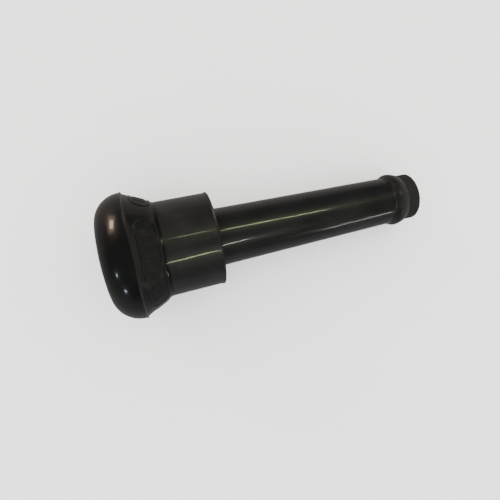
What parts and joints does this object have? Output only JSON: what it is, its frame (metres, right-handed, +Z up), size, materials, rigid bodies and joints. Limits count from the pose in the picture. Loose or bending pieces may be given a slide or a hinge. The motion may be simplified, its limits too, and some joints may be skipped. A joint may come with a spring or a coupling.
{
  "type": "rubber nozzle",
  "caption": "Black rubber flow nozzle: domed mouthpiece with a flared, skirted back, a long tapered barrel, a bulged ring near its end and a short tail.",
  "frame": {"origin": "centre of the mouth hole, in the plane of the lip's flat front face", "axes": "+X along the bore from the mouth to the tail, +Z up when the nozzle lies on its side, +Y to the left looking along +X"},
  "size_m": [0.1584, 0.0586, 0.0586],
  "materials": {
    "lip_rubber": "soft satin",
    "head_rubber": "semi-gloss moulded",
    "skirt_rubber": "semi-gloss moulded",
    "plate_rubber": "semi-gloss moulded",
    "barrel_rubber": "gloss",
    "ring_rubber": "satin",
    "tail_rubber": "matt, fine grain",
    "hoop_plastic": "matt"
  },
  "bodies": {
    "root": {"mouth_lip": "lip_rubber", "head_front": "head_rubber", "head_rear": "head_rubber", "stiffening_hoop": "hoop_plastic", "skirt": "skirt_rubber", "label_plate_top": "plate_rubber", "label_plate_left": "plate_rubber", "label_plate_right": "plate_rubber", "barrel": "barrel_rubber", "tail": "tail_rubber", "stop_ring": "ring_rubber"}
  },
  "joints": []
}
